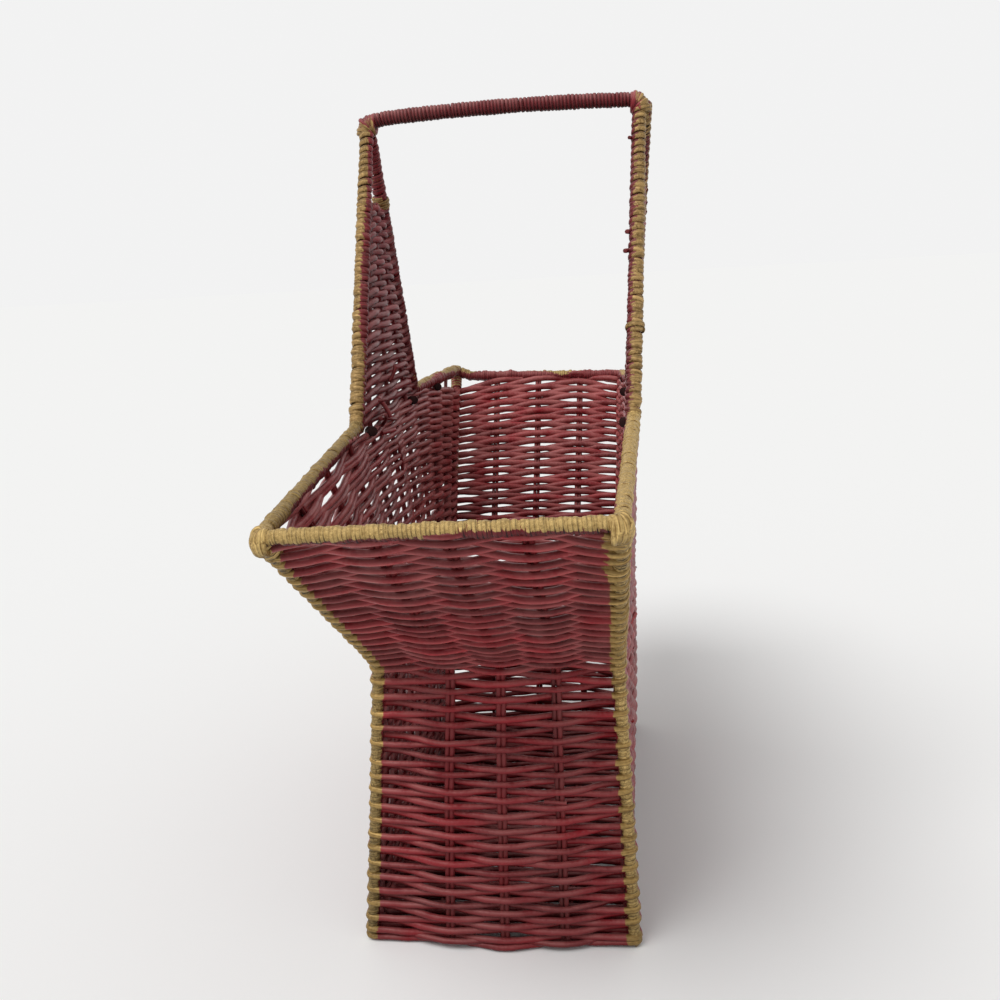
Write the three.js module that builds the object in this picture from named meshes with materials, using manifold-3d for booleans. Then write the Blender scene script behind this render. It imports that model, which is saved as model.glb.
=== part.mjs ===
// Wall pocket basket: a frame of bound rods wattled with reed, under a peaked carrying handle.
// Millimetres, +Z up. X runs along the basket, -Y is the front and +Y the back that hangs on a wall.
// The feet stand on Z = 0, and the middle of the whole basket stands over the origin.

import * as THREE from "three";
import Module from "manifold-3d";

const wasm = await Module();
wasm.setup();

// Heights of the frame, to the centre lines of its rods
const baseHeight = 4.6;
const waistHeight = 119;
const rimHeight = 195.5;
const saddleHeight = 203;
const peakHeight = 323.9;
const barArch = 1.5;

// Lengths along the basket, between centre lines
const baseLength = 187;
const waistLength = 181;
const rimLength = 353;
const saddleLength = 110;

// Depths to the front and to the back, from the middle of the base to the centre lines
const baseFront = 52.5;
const baseBack = 52.5;
const waistFront = 42.5;
const waistBack = 49.5;
const rimFront = 49;
const rimBack = 53;
const saddleFront = 51;
const saddleBack = 57.5;
const peakFront = 49.5;
const peakBack = 63.5;

// Rods of the frame
const postDiameter = 4.4;
const railDiameter = 4.2;
const handleDiameter = 3;
const rodSides = 10;
const footDrop = 1;
const barSteps = 8;
const barOverhang = 3;
const bendReach = 3;
const bendSteps = 2;

// Stakes, each a pair of reeds side by side
const stakeReed = 2;
const endStakes = 3;
const sideStakes = 6;
const baseStakes = 3;
const peakStakeSpread = 7;

// Wattle: one flat strand of reeds laid side by side goes to and fro over and under the stakes
const strandWidth = 7;
const strandThickness = 1.6;
const rowPitch = 9.2;

// Width between the uprights where the wattle of a peak stops
const peakOpening = 33;

// Bindings of split cane round the handle
const caneWidth = 3.8;
const caneThickness = 1.2;
const canePitch = 5.4;
const turnSteps = 8;
const caneLowStop = 9;
const caneHighStop = 13;
const caneBarStop = 9;

// Gaps between neighbouring pieces
const clearance = 0.3;
const wattleGap = 1.4;
const stakeGap = 0.4;

// Finishes
const redReed = new THREE.MeshStandardMaterial({ color: 0x6e2a2a, roughness: 0.5, metalness: 0 });
const darkReed = new THREE.MeshStandardMaterial({ color: 0x56201f, roughness: 0.55, metalness: 0 });
const giltReed = new THREE.MeshStandardMaterial({ color: 0xa98452, roughness: 0.45, metalness: 0.25 });

// Sizes worked out from those above
const bore = handleDiameter / 2 + clearance;
const caneRadius = (bore + caneThickness / 2) / Math.cos(Math.PI / turnSteps);
const boundRadius = caneRadius + caneThickness / 2;
const strandLift = stakeReed / 2 + stakeGap + strandThickness / 2;
const stakeWidth = 2 * stakeReed;
const railSeat = railDiameter / 2 + clearance;

const levels = {
  base: { z: baseHeight, half: baseLength / 2, front: -baseFront, back: baseBack },
  waist: { z: waistHeight, half: waistLength / 2, front: -waistFront, back: waistBack },
  rim: { z: rimHeight, half: rimLength / 2, front: -rimFront, back: rimBack },
  saddle: { z: saddleHeight, half: saddleLength / 2, front: -saddleFront, back: saddleBack },
  peak: { z: peakHeight, half: 0, front: -peakFront, back: peakBack },
};
const ends = { left: -1, right: 1 };
const sides = { front: -1, back: 1 };
const along = new THREE.Vector3(1, 0, 0);
const across = new THREE.Vector3(0, 1, 0);
const upward = new THREE.Vector3(0, 0, 1);

const basket = new THREE.Group();

function addPiece(name, geometry, material) {
  geometry.computeVertexNormals();
  const piece = new THREE.Mesh(geometry, material);
  piece.name = name;
  basket.add(piece);
}

// Sections, each drawn counter-clockwise

function roundSection(diameter) {
  const turn = (2 * Math.PI) / rodSides;
  return Array.from({ length: rodSides }, (_, i) => {
    const angle = (i + 0.5) * turn;
    return new THREE.Vector2(Math.cos(angle), Math.sin(angle)).multiplyScalar(diameter / 2);
  });
}

function flatSection(width, thickness) {
  const corners = [[-1, -1], [1, -1], [1, 1], [-1, 1]];
  return corners.map(([x, y]) => new THREE.Vector2((x * width) / 2, (y * thickness) / 2));
}

// Two reeds touching along their length, with the groove between them
function pairSection(reed) {
  const outline = [[1, 0], [0.5, 0.5], [0, 0.25], [-0.5, 0.5], [-1, 0], [-0.5, -0.5], [0, -0.25], [0.5, -0.5]];
  return outline.map(([x, y]) => new THREE.Vector2(x * reed, y * reed));
}

// A closed bar: the section carried along the points, mitred where the path bends.
// Each normal says which way the section's own Y axis faces at its point.
function sweep(points, normals, section) {
  const last = points.length - 1;
  const ring = section.length;
  const positions = [];
  points.forEach((point, i) => {
    const onward = points[Math.min(i + 1, last)].clone().sub(points[Math.min(i, last - 1)]).normalize();
    const inward = points[Math.max(i, 1)].clone().sub(points[Math.max(i - 1, 0)]).normalize();
    const tangent = onward.clone().add(inward).normalize();
    const normal = normals[i].clone().projectOnPlane(tangent).normalize();
    const side = normal.clone().cross(tangent);
    const bend = onward.clone().sub(inward).normalize();
    const stretch = 1 / tangent.dot(onward) - 1;
    section.forEach((corner) => {
      const offset = side.clone().multiplyScalar(corner.x).addScaledVector(normal, corner.y);
      offset.addScaledVector(bend, offset.dot(bend) * stretch);
      positions.push(...offset.add(point).toArray());
    });
  });
  const faces = [];
  for (let i = 0; i < last; i += 1) {
    for (let j = 0; j < ring; j += 1) {
      const a = i * ring + j;
      const b = i * ring + ((j + 1) % ring);
      faces.push(a, b, b + ring, a, b + ring, a + ring);
    }
  }
  THREE.ShapeUtils.triangulateShape(section, []).forEach(([a, b, c]) => {
    faces.push(c, b, a, last * ring + a, last * ring + b, last * ring + c);
  });
  const geometry = new THREE.BufferGeometry();
  geometry.setAttribute("position", new THREE.Float32BufferAttribute(positions, 3));
  geometry.setIndex(faces);
  return geometry;
}

function rod(points, normal, diameter) {
  return sweep(points, points.map(() => normal), roundSection(diameter));
}

// The path with each inner corner turned into a small bend
function bent(points) {
  const path = [points[0]];
  for (let i = 1; i < points.length - 1; i += 1) {
    const into = pointToward(points[i], points[i - 1], bendReach);
    const out = pointToward(points[i], points[i + 1], bendReach);
    path.push(...new THREE.QuadraticBezierCurve3(into, points[i], out).getPoints(bendSteps));
  }
  path.push(points.at(-1));
  return path;
}

function pointToward(from, to, distance) {
  return from.clone().addScaledVector(to.clone().sub(from).normalize(), distance);
}

// Booleans, for rod ends that are coped round the rods they meet

function solidOf(geometry) {
  const vertProperties = new Float32Array(geometry.getAttribute("position").array);
  const triVerts = new Uint32Array(geometry.getIndex().array);
  return new wasm.Manifold(new wasm.Mesh({ numProp: 3, vertProperties, triVerts }));
}

function coped(geometry, cutters) {
  const body = cutters.reduce((rest, cutter) => rest.subtract(solidOf(cutter)), solidOf(geometry));
  const mesh = body.getMesh();
  const result = new THREE.BufferGeometry();
  result.setAttribute("position", new THREE.Float32BufferAttribute(mesh.vertProperties, 3));
  result.setIndex(Array.from(mesh.triVerts));
  return result;
}

// Frame points

function framePoint(level, end, side) {
  return new THREE.Vector3(end * level.half, side < 0 ? level.front : level.back, level.z);
}

// A point on the rim of one side: it rises and bulges from the corners to the saddle
function rimPoint(side, x) {
  const end = Math.sign(x) || 1;
  const corner = framePoint(levels.rim, end, side);
  const saddle = framePoint(levels.saddle, end, side);
  const share = Math.min(1, (levels.rim.half - Math.abs(x)) / (levels.rim.half - levels.saddle.half));
  const point = corner.lerp(saddle, share);
  point.x = x;
  return point;
}

// Frame rods

function endRail(end, diameter) {
  const half = diameter / 2;
  const front = framePoint(levels.rim, end, sides.front).addScaledVector(across, -half);
  const back = framePoint(levels.rim, end, sides.back).addScaledVector(across, half);
  return rod([front, back], upward, diameter);
}

function sideRail(end, side, diameter, start) {
  const corner = framePoint(levels.rim, end, side);
  const saddle = framePoint(levels.saddle, end, side);
  return rod([pointToward(corner, saddle, start), saddle], upward, diameter);
}

function upright(end, side, diameter, drop) {
  const saddle = framePoint(levels.saddle, end, side);
  const peak = framePoint(levels.peak, end, side);
  return rod([pointToward(saddle, peak, -drop), peak], across, diameter);
}

const frontPeak = framePoint(levels.peak, 0, sides.front);
const backPeak = framePoint(levels.peak, 0, sides.back);
const barCrown = frontPeak.clone().lerp(backPeak, 0.5).addScaledVector(upward, 2 * barArch);
const barCurve = new THREE.QuadraticBezierCurve3(frontPeak, barCrown, backPeak);

function handleBar(diameter) {
  const path = barCurve.getPoints(barSteps);
  path[0] = pointToward(path[0], path[1], -barOverhang);
  path[barSteps] = pointToward(path[barSteps], path[barSteps - 1], -barOverhang);
  return rod(path, upward, diameter);
}

const wide = 2 * clearance;
for (const [sideName, side] of Object.entries(sides)) {
  for (const [endName, end] of Object.entries(ends)) {
    const place = `${sideName}_${endName}`;
    const foot = framePoint(levels.base, end, side).setZ(0);
    const postPath = ["base", "waist", "rim"].map((level) => framePoint(levels[level], end, side));
    const post = rod([foot, ...bent(postPath)], along, postDiameter);
    const rimCutters = [endRail(end, railDiameter + wide), sideRail(end, side, railDiameter + wide, 0)];
    addPiece(`post_${place}`, coped(post, rimCutters), giltReed);

    const rail = sideRail(end, side, railDiameter, railSeat);
    const uprightCutter = upright(end, side, handleDiameter + wide, railDiameter);
    addPiece(`rim_rail_${place}`, coped(rail, [uprightCutter]), giltReed);

    const peakCutters = [handleBar(handleDiameter + wide)];
    if (end < 0) {
      peakCutters.push(upright(ends.right, side, handleDiameter + wide, footDrop));
    }
    const handleRod = upright(end, side, handleDiameter, footDrop);
    addPiece(`upright_${place}`, coped(handleRod, peakCutters), giltReed);
  }
}
for (const [endName, end] of Object.entries(ends)) {
  addPiece(`rim_rail_${endName}`, endRail(end, railDiameter), giltReed);
}
addPiece("handle_bar", handleBar(handleDiameter), redReed);

// A base rail runs between two posts, short of each by the clearance
function baseRail(from, to, diameter) {
  const stop = postDiameter / 2 + clearance;
  return rod([pointToward(from, to, stop), pointToward(to, from, stop)], upward, diameter);
}

function baseSideRail(side, diameter) {
  const left = framePoint(levels.base, ends.left, side);
  return baseRail(left, framePoint(levels.base, ends.right, side), diameter);
}

function baseEndRail(end, diameter) {
  const front = framePoint(levels.base, end, sides.front);
  return baseRail(front, framePoint(levels.base, end, sides.back), diameter);
}

for (const [sideName, side] of Object.entries(sides)) {
  addPiece(`base_rail_${sideName}`, baseSideRail(side, railDiameter), redReed);
}
for (const [endName, end] of Object.entries(ends)) {
  addPiece(`base_rail_${endName}`, baseEndRail(end, railDiameter), redReed);
}

// Stakes and wattle. A panel is a list of lines that its strand crosses: the first and the last are the
// rods that bound it, and those between are its stakes.

// A stake runs between the centre lines of two rails and is coped round them
function addStake(name, points, outward, cutters) {
  const path = bent(points);
  const stake = sweep(path, path.map(() => outward), pairSection(stakeReed));
  addPiece(name, coped(stake, cutters), darkReed);
}

// Where a row ends short of the rod that bounds its panel
function rowEnd(bound, at, toward, inset) {
  const row = toward.clone().sub(at).normalize();
  const lean = bound.high.clone().sub(bound.low).normalize();
  return at.clone().addScaledVector(row, inset / row.clone().cross(lean).length());
}

// How far a strand stands off a stake so that it clears the stake's edges on its way to its neighbours.
// A leaning stake is wider along the row. Beside the frame the strand only comes back to the middle.
function strandReach(stake, before, at, after, isFirst, isLast) {
  const row = after.clone().sub(before).normalize();
  const lean = stake.high.clone().sub(stake.low).normalize();
  const width = stakeWidth / row.cross(lean).length();
  const lowShare = (isFirst ? width / 2 : width) / at.distanceTo(before);
  const highShare = (isLast ? width / 2 : width) / at.distanceTo(after);
  return strandLift / (1 - Math.max(lowShare, highShare));
}

function wattle(lines, outward, lowInset, highInset, edgeInset) {
  const [first, last] = [lines[0], lines.at(-1)];
  const lowMiddle = first.low.clone().lerp(last.low, 0.5);
  const highMiddle = first.high.clone().lerp(last.high, 0.5);
  const height = lowMiddle.distanceTo(highMiddle);
  const span = height - lowInset - highInset;
  const steps = Math.floor(span / rowPitch);
  const facing = last.low.clone().sub(first.low).cross(highMiddle.clone().sub(lowMiddle)).normalize();
  facing.multiplyScalar(Math.sign(facing.dot(outward)));
  const path = [];
  for (let row = 0; row <= steps; row += 1) {
    const share = (lowInset + (span * row) / steps) / height;
    const crossings = lines.map((line) => line.low.clone().lerp(line.high, share));
    const points = crossings.map((point) => point.clone());
    const end = points.length - 1;
    points[0] = rowEnd(first, crossings[0], crossings[1], edgeInset);
    points[end] = rowEnd(last, crossings[end], crossings[end - 1], edgeInset);
    const offsets = points.map((point, i) => {
      if (i === 0 || i === end) {
        return 0;
      }
      const reach = strandReach(lines[i], points[i - 1], point, points[i + 1], i === 1, i === end - 1);
      return (i + row) % 2 ? reach : -reach;
    });
    points.forEach((point, i) => point.addScaledVector(facing, offsets[i]));
    path.push(...(row % 2 ? points.reverse() : points));
  }
  return sweep(path, path.map(() => facing), flatSection(strandWidth, strandThickness));
}

const halfStrand = strandWidth / 2;
const postInset = postDiameter / 2 + clearance + halfStrand;
const railInset = railDiameter / 2 + wattleGap + halfStrand;
const waistInset = rowPitch / 2;

function addWall(name, outward, lines, topPoints, cutters) {
  const lower = lines.map(([low, middle]) => ({ low, high: middle }));
  const collar = lines.map(([, middle, high]) => ({ low: middle, high }));
  addPiece(`wattle_lower_${name}`, wattle(lower, outward, railInset, waistInset, postInset), redReed);
  addPiece(`wattle_collar_${name}`, wattle(collar, outward, waistInset, railInset, postInset), redReed);
  lines.slice(1, -1).forEach((line, i) => {
    const points = topPoints[i] ? [...line, topPoints[i]] : line;
    addStake(`stake_${name}_${i + 1}`, points, outward, cutters);
  });
}

// The ends flare out above the waist
for (const [endName, end] of Object.entries(ends)) {
  const lines = Array.from({ length: endStakes + 2 }, (_, i) => {
    const share = i / (endStakes + 1);
    return ["base", "waist", "rim"].map((level) => {
      const front = framePoint(levels[level], end, sides.front);
      return front.lerp(framePoint(levels[level], end, sides.back), share);
    });
  });
  const cutters = [baseEndRail(end, railDiameter + wide), endRail(end, railDiameter + wide)];
  addWall(endName, along.clone().multiplyScalar(end), lines, [], cutters);
}

// The front and the back fan out above the waist, and their stakes between the uprights run on into the peak
for (const [sideName, side] of Object.entries(sides)) {
  const outward = across.clone().multiplyScalar(side);
  const lines = Array.from({ length: sideStakes + 2 }, (_, i) => {
    const share = i / (sideStakes + 1);
    const [low, middle] = ["base", "waist"].map((level) => {
      const left = framePoint(levels[level], ends.left, side);
      return left.lerp(framePoint(levels[level], ends.right, side), share);
    });
    return [low, middle, rimPoint(side, (share - 0.5) * rimLength)];
  });
  const bounds = Object.fromEntries(Object.entries(ends).map(([endName, end]) => {
    const saddle = framePoint(levels.saddle, end, side);
    const peak = framePoint(levels.peak, end, side);
    const high = peak.clone().lerp(saddle, peakOpening / saddleLength);
    return [endName, { low: saddle, high }];
  }));
  const peakMiddle = bounds.left.high.clone().lerp(bounds.right.high, 0.5);
  const inner = lines.slice(1, -1);
  const rising = inner.map((line) => Math.abs(line[2].x) < levels.saddle.half - postInset);
  const risingCount = rising.filter(Boolean).length;
  let risen = 0;
  const topPoints = inner.map((line, i) => {
    if (!rising[i]) {
      return null;
    }
    const share = risingCount > 1 ? risen / (risingCount - 1) - 0.5 : 0;
    risen += 1;
    return peakMiddle.clone().addScaledVector(along, share * peakStakeSpread);
  });
  const rimCutters = Object.values(ends).map((end) => sideRail(end, side, railDiameter + wide, 0));
  addWall(sideName, outward, lines, topPoints, [baseSideRail(side, railDiameter + wide), ...rimCutters]);

  const peakStakes = inner.flatMap((line, i) => (rising[i] ? [{ low: line[2], high: topPoints[i] }] : []));
  const peakLines = [bounds.left, ...peakStakes, bounds.right];
  const peakInset = boundRadius + clearance + halfStrand;
  addPiece(`wattle_peak_${sideName}`, wattle(peakLines, outward, waistInset, halfStrand, peakInset), redReed);
}

// The base: stakes run along it and the strand goes across
const baseEdge = Object.values(sides).map((side) => {
  const left = framePoint(levels.base, ends.left, side);
  return { low: left, high: framePoint(levels.base, ends.right, side) };
});
const baseLines = Array.from({ length: baseStakes + 2 }, (_, i) => {
  const share = i / (baseStakes + 1);
  const low = baseEdge[0].low.clone().lerp(baseEdge[1].low, share);
  return { low, high: baseEdge[0].high.clone().lerp(baseEdge[1].high, share) };
});
const baseCutters = Object.values(ends).map((end) => baseEndRail(end, railDiameter + wide));
baseLines.slice(1, -1).forEach((line, i) => {
  addStake(`stake_base_${i + 1}`, [line.low, line.high], upward, baseCutters);
});
const edgeInset = railDiameter / 2 + clearance + halfStrand;
addPiece("wattle_base", wattle(baseLines, upward, railInset, railInset, edgeInset), redReed);

// Bindings: one strip of cane wound round a rod, with a straight tail at each end

function winding(curve, reference, lowStop, highStop) {
  const length = curve.getLength();
  const turns = Math.floor((length - lowStop - highStop) / canePitch);
  const count = turns * turnSteps;
  const points = [];
  const normals = [];
  for (let i = 0; i <= count; i += 1) {
    const share = (lowStop + (i / turnSteps) * canePitch) / length;
    const tangent = curve.getTangentAt(share);
    const radial = reference.clone().projectOnPlane(tangent).normalize();
    radial.applyAxisAngle(tangent, (i / turnSteps) * 2 * Math.PI);
    points.push(curve.getPointAt(share).addScaledVector(radial, caneRadius));
    normals.push(radial);
  }
  points.unshift(pointToward(points[0], points[1], -caneWidth));
  normals.unshift(normals[0]);
  points.push(pointToward(points.at(-1), points.at(-2), -caneWidth));
  normals.push(normals.at(-1));
  return { points, normals, section: flatSection(caneWidth, caneThickness) };
}

// Least distance between the corners of rings that lie at least half a turn apart
function leastGap(geometry, ring) {
  const position = geometry.getAttribute("position");
  const corners = Array.from({ length: position.count }, (_, i) => {
    return new THREE.Vector3().fromBufferAttribute(position, i);
  });
  const apart = (ring * turnSteps) / 2;
  return corners.reduce((least, corner, i) => {
    return corners.slice(i + apart).reduce((near, other) => Math.min(near, corner.distanceTo(other)), least);
  }, Infinity);
}

function addBinding(name, curve, reference, lowStop, highStop, material) {
  const { points, normals, section } = winding(curve, reference, lowStop, highStop);
  const geometry = sweep(points, normals, section);
  console.log(`${name}: least gap between turns ${leastGap(geometry, section.length).toFixed(2)} mm`);
  addPiece(name, geometry, material);
}

for (const [sideName, side] of Object.entries(sides)) {
  for (const [endName, end] of Object.entries(ends)) {
    const line = new THREE.LineCurve3(framePoint(levels.saddle, end, side), framePoint(levels.peak, end, side));
    addBinding(`binding_${sideName}_${endName}`, line, across, caneLowStop, caneHighStop, giltReed);
  }
}
addBinding("binding_bar", barCurve, upward, caneBarStop, caneBarStop, redReed);

const extent = new THREE.Box3().setFromObject(basket);
basket.position.y = -(extent.min.y + extent.max.y) / 2;

export default basket;
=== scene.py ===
import math
import bpy
import numpy as np
from mathutils import Matrix, Vector


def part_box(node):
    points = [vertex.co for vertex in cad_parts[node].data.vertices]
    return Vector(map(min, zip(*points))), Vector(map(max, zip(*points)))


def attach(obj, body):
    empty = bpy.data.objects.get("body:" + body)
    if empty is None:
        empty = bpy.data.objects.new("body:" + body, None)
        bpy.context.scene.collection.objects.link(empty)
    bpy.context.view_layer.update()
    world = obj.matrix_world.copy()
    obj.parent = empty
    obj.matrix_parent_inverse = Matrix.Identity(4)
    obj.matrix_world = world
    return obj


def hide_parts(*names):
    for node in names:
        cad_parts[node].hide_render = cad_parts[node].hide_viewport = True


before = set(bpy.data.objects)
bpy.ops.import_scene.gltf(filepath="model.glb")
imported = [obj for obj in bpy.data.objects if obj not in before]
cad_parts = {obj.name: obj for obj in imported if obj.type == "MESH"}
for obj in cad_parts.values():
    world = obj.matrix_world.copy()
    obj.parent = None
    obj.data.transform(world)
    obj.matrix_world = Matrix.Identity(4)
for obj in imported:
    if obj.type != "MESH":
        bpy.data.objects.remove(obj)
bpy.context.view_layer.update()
scene = bpy.context.scene
scene.view_settings.view_transform = "Standard"
mm = 0.001


# camera, at the photograph's viewing angle

viewPoint = {
    "place": (435.9, 49.3, 268.1),  # mm
    "heading": 97.6,  # degrees from +Y, counter-clockwise
    "downward": 14.0,
    "roll": -3.4,
    "lens": 36.0,
    "sensor": 36.0,
}


def makeCamera(view):
    data = bpy.data.cameras.new("camera")
    data.lens = view["lens"]
    data.sensor_width = view["sensor"]
    data.clip_start, data.clip_end = 0.01, 20.0
    camera = bpy.data.objects.new("camera", data)
    scene.collection.objects.link(camera)
    turn = Matrix.Rotation(math.radians(view["heading"]), 4, "Z")
    turn = turn @ Matrix.Rotation(math.radians(90 - view["downward"]), 4, "X")
    turn = turn @ Matrix.Rotation(math.radians(view["roll"]), 4, "Z")
    camera.matrix_world = Matrix.Translation(Vector(view["place"]) * mm) @ turn
    scene.camera = camera


makeCamera(viewPoint)
print("camera set")


# node helpers, for shader and geometry trees alike

def put(tree, kind, inputs=None, **settings):
    node = tree.nodes.new(kind)
    for key, value in settings.items():
        setattr(node, key, value)
    for key, value in (inputs or {}).items():
        socket = node.inputs[key]
        if isinstance(value, bpy.types.NodeSocket):
            tree.links.new(value, socket)
        else:
            socket.default_value = value
    return node


def calc(tree, operation, first, second=0.0, third=0.0):
    return put(tree, "ShaderNodeMath", {0: first, 1: second, 2: third}, operation=operation).outputs[0]


def times(tree, first, second):
    return calc(tree, "MULTIPLY", first, second)


def timesPlus(tree, first, second, third):
    return calc(tree, "MULTIPLY_ADD", first, second, third)


def centred(tree, value):  # from -0.5 to 0.5 instead of 0 to 1
    return calc(tree, "SUBTRACT", value, 0.5)


def noise(tree, spot, scale, detail):
    return put(tree, "ShaderNodeTexNoise", {"Vector": spot, "Scale": scale, "Detail": detail}).outputs


def vectorCalc(tree, operation, first, second=(0, 0, 0)):
    return put(tree, "ShaderNodeVectorMath", {0: first, 1: second}, operation=operation).outputs["Vector"]


def vectorScale(tree, vector, factor):
    node = put(tree, "ShaderNodeVectorMath", {0: vector, "Scale": factor}, operation="SCALE")
    return node.outputs["Vector"]


def newTree(name, sizes, counts):  # its inputs, and a finish
    tree = bpy.data.node_groups.new(name, "GeometryNodeTree")
    kinds = {"Geometry": "Geometry", **dict.fromkeys(sizes, "Float"), **dict.fromkeys(counts, "Int")}
    for label, kind in {**kinds, "finish": "Material"}.items():
        tree.interface.new_socket(name=label, in_out="INPUT", socket_type="NodeSocket" + kind)
    tree.interface.new_socket(name="Geometry", in_out="OUTPUT", socket_type="NodeSocketGeometry")
    return tree, tree.nodes.new("NodeGroupInput").outputs


def keep(tree, geometry, name, value):  # store a point attribute for the materials
    node = put(tree, "GeometryNodeStoreNamedAttribute", {"Geometry": geometry, "Name": name},
               data_type="FLOAT", domain="POINT")
    tree.links.new(value, node.inputs["Value"])
    return node.outputs["Geometry"]


def closeTree(tree, mesh, given):
    smooth = put(tree, "GeometryNodeSetShadeSmooth", {"Geometry": mesh})
    real = put(tree, "GeometryNodeRealizeInstances", {"Geometry": smooth.outputs[0]})
    painted = put(tree, "GeometryNodeSetMaterial", {
        "Geometry": real.outputs[0], "Material": given["finish"]})
    put(tree, "NodeGroupOutput", {"Geometry": painted.outputs[0]})


def profile(tree, sides):  # unit circle that knows its own way round
    circle = put(tree, "GeometryNodeCurvePrimitiveCircle", {"Resolution": sides, "Radius": 1.0})
    way = put(tree, "GeometryNodeSplineParameter")
    return keep(tree, circle.outputs["Curve"], "round", way.outputs["Factor"])


def strandTone(tree, given):  # one random number for each strand
    strand = put(tree, "GeometryNodeCurveOfPoint")
    pick = put(tree, "FunctionNodeRandomValue", {
        "ID": strand.outputs["Curve Index"], "Seed": given["seed"]}, data_type="FLOAT")
    return pick.outputs[1]


farReach = 150 * mm  # half of the length over which reeds and bindings change


def farShare(tree):  # 1 at the far end, -1 at the near one
    place = put(tree, "GeometryNodeInputPosition").outputs[0]
    x = put(tree, "ShaderNodeSeparateXYZ", {0: place}).outputs["X"]
    return put(tree, "ShaderNodeMapRange", {
        "Value": x, "From Min": -farReach, "From Max": farReach, "To Min": 1.0, "To Max": -1.0}).outputs[0]


# reeds: each path becomes a round reed with its own thickness and small kinks

reedKinks = {"noise": (110.0, 1.0), "apart": 7.0, "farPower": 1.2}  # noise: scale and detail


def makeReedTree():
    tree, given = newTree("reedSweep", ("radius", "spread", "wobble", "taper"), ("sides", "seed"))
    tone = strandTone(tree, given)
    way = put(tree, "GeometryNodeSplineParameter").outputs["Length"]
    place = put(tree, "GeometryNodeInputPosition").outputs[0]
    own = put(tree, "ShaderNodeCombineXYZ", {0: tone, 1: tone, 2: tone}).outputs[0]
    spot = vectorCalc(tree, "ADD", place, vectorScale(tree, own, reedKinks["apart"]))
    kinks = noise(tree, spot, *reedKinks["noise"])
    push = vectorCalc(tree, "SUBTRACT", kinks["Color"], (0.5, 0.5, 0.5))
    moved = put(tree, "GeometryNodeSetPosition", {
        "Geometry": given["Geometry"], "Offset": vectorScale(tree, push, given["wobble"])})
    curve = keep(tree, moved.outputs[0], "tone", tone)
    curve = keep(tree, curve, "along", way)
    fat = times(tree, centred(tree, tone), given["spread"])
    lumps = times(tree, centred(tree, kinks["Fac"]), given["spread"])
    farHalf = calc(tree, "MAXIMUM", farShare(tree), 0.0)
    fat = timesPlus(tree, calc(tree, "POWER", farHalf, reedKinks["farPower"]), given["taper"], fat)
    scale = times(tree, given["radius"], calc(tree, "ADD", calc(tree, "ADD", fat, lumps), 1.0))
    swept = put(tree, "GeometryNodeCurveToMesh", {
        "Curve": curve, "Profile Curve": profile(tree, given["sides"]), "Scale": scale, "Fill Caps": True})
    closeTree(tree, swept.outputs[0], given)
    return tree


# bindings: a strip wound round each path

windNoise = {
    "drift": (0.37, 2.0), "slack": (2.3, 1.0), "lumps": (0.21, 1.0),  # scale and detail, in turns
    "apart": 90.0,
}


def makeWindTree():
    sizes = "core", "pitch", "width", "thickness", "slack", "lumps", "drift", "taper"
    tree, given = newTree("stripWinding", sizes, ("steps", "sides", "seed"))
    step = calc(tree, "DIVIDE", given["pitch"], given["steps"])
    guide = put(tree, "GeometryNodeResampleCurve", {"Curve": given["Geometry"]}, mode="LENGTH")
    tree.links.new(step, guide.inputs["Length"])
    tone = strandTone(tree, given)
    way = put(tree, "GeometryNodeSplineParameter").outputs["Length"]
    turns = calc(tree, "DIVIDE", way, given["pitch"])
    spot = put(tree, "ShaderNodeCombineXYZ", {0: turns, 1: times(tree, tone, windNoise["apart"])}).outputs[0]
    drift, slack, lumps = (centred(tree, noise(tree, spot, *windNoise[label])["Fac"])
                           for label in ("drift", "slack", "lumps"))
    lean = times(tree, drift, given["drift"])
    angle = times(tree, calc(tree, "ADD", turns, lean), 2 * math.pi)
    tangent = put(tree, "GeometryNodeInputTangent").outputs[0]
    normal = put(tree, "GeometryNodeInputNormal").outputs["Normal"]
    spin = put(tree, "ShaderNodeVectorRotate", {"Vector": normal, "Axis": tangent, "Angle": angle},
               rotation_type="AXIS_ANGLE")
    held = put(tree, "GeometryNodeCaptureAttribute", {"Geometry": guide.outputs[0]}, domain="POINT")
    held.capture_items.new("VECTOR", "outward")
    tree.links.new(spin.outputs[0], held.inputs["outward"])
    ease = timesPlus(tree, lumps, given["lumps"], times(tree, slack, given["slack"]))
    reach = calc(tree, "ADD", timesPlus(tree, given["thickness"], 0.5, given["core"]), ease)
    reach = times(tree, reach, timesPlus(tree, farShare(tree), given["taper"], 1.0))
    wound = put(tree, "GeometryNodeSetPosition", {
        "Geometry": held.outputs["Geometry"], "Offset": vectorScale(tree, held.outputs["outward"], reach)})
    faced = put(tree, "GeometryNodeSetCurveNormal", {"Curve": wound.outputs[0]}, mode="FREE")
    tree.links.new(held.outputs["outward"], faced.inputs["Normal"])
    curve = keep(tree, faced.outputs[0], "tone", tone)
    curve = keep(tree, curve, "along", times(tree, angle, reach))
    curve = keep(tree, curve, "wound", timesPlus(tree, tone, 0.0, 1.0))  # 1 on every strip, none on a reed
    flat = put(tree, "ShaderNodeCombineXYZ", {
        0: times(tree, given["thickness"], 0.5), 1: times(tree, given["width"], 0.5), 2: 1.0})
    strip = put(tree, "GeometryNodeTransform", {
        "Geometry": profile(tree, given["sides"]), "Scale": flat.outputs[0]})
    swept = put(tree, "GeometryNodeCurveToMesh", {
        "Curve": curve, "Profile Curve": strip.outputs[0], "Scale": 1.0, "Fill Caps": True})
    closeTree(tree, swept.outputs[0], given)
    return tree


reedSweep = makeReedTree()
stripWinding = makeWindTree()


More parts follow.
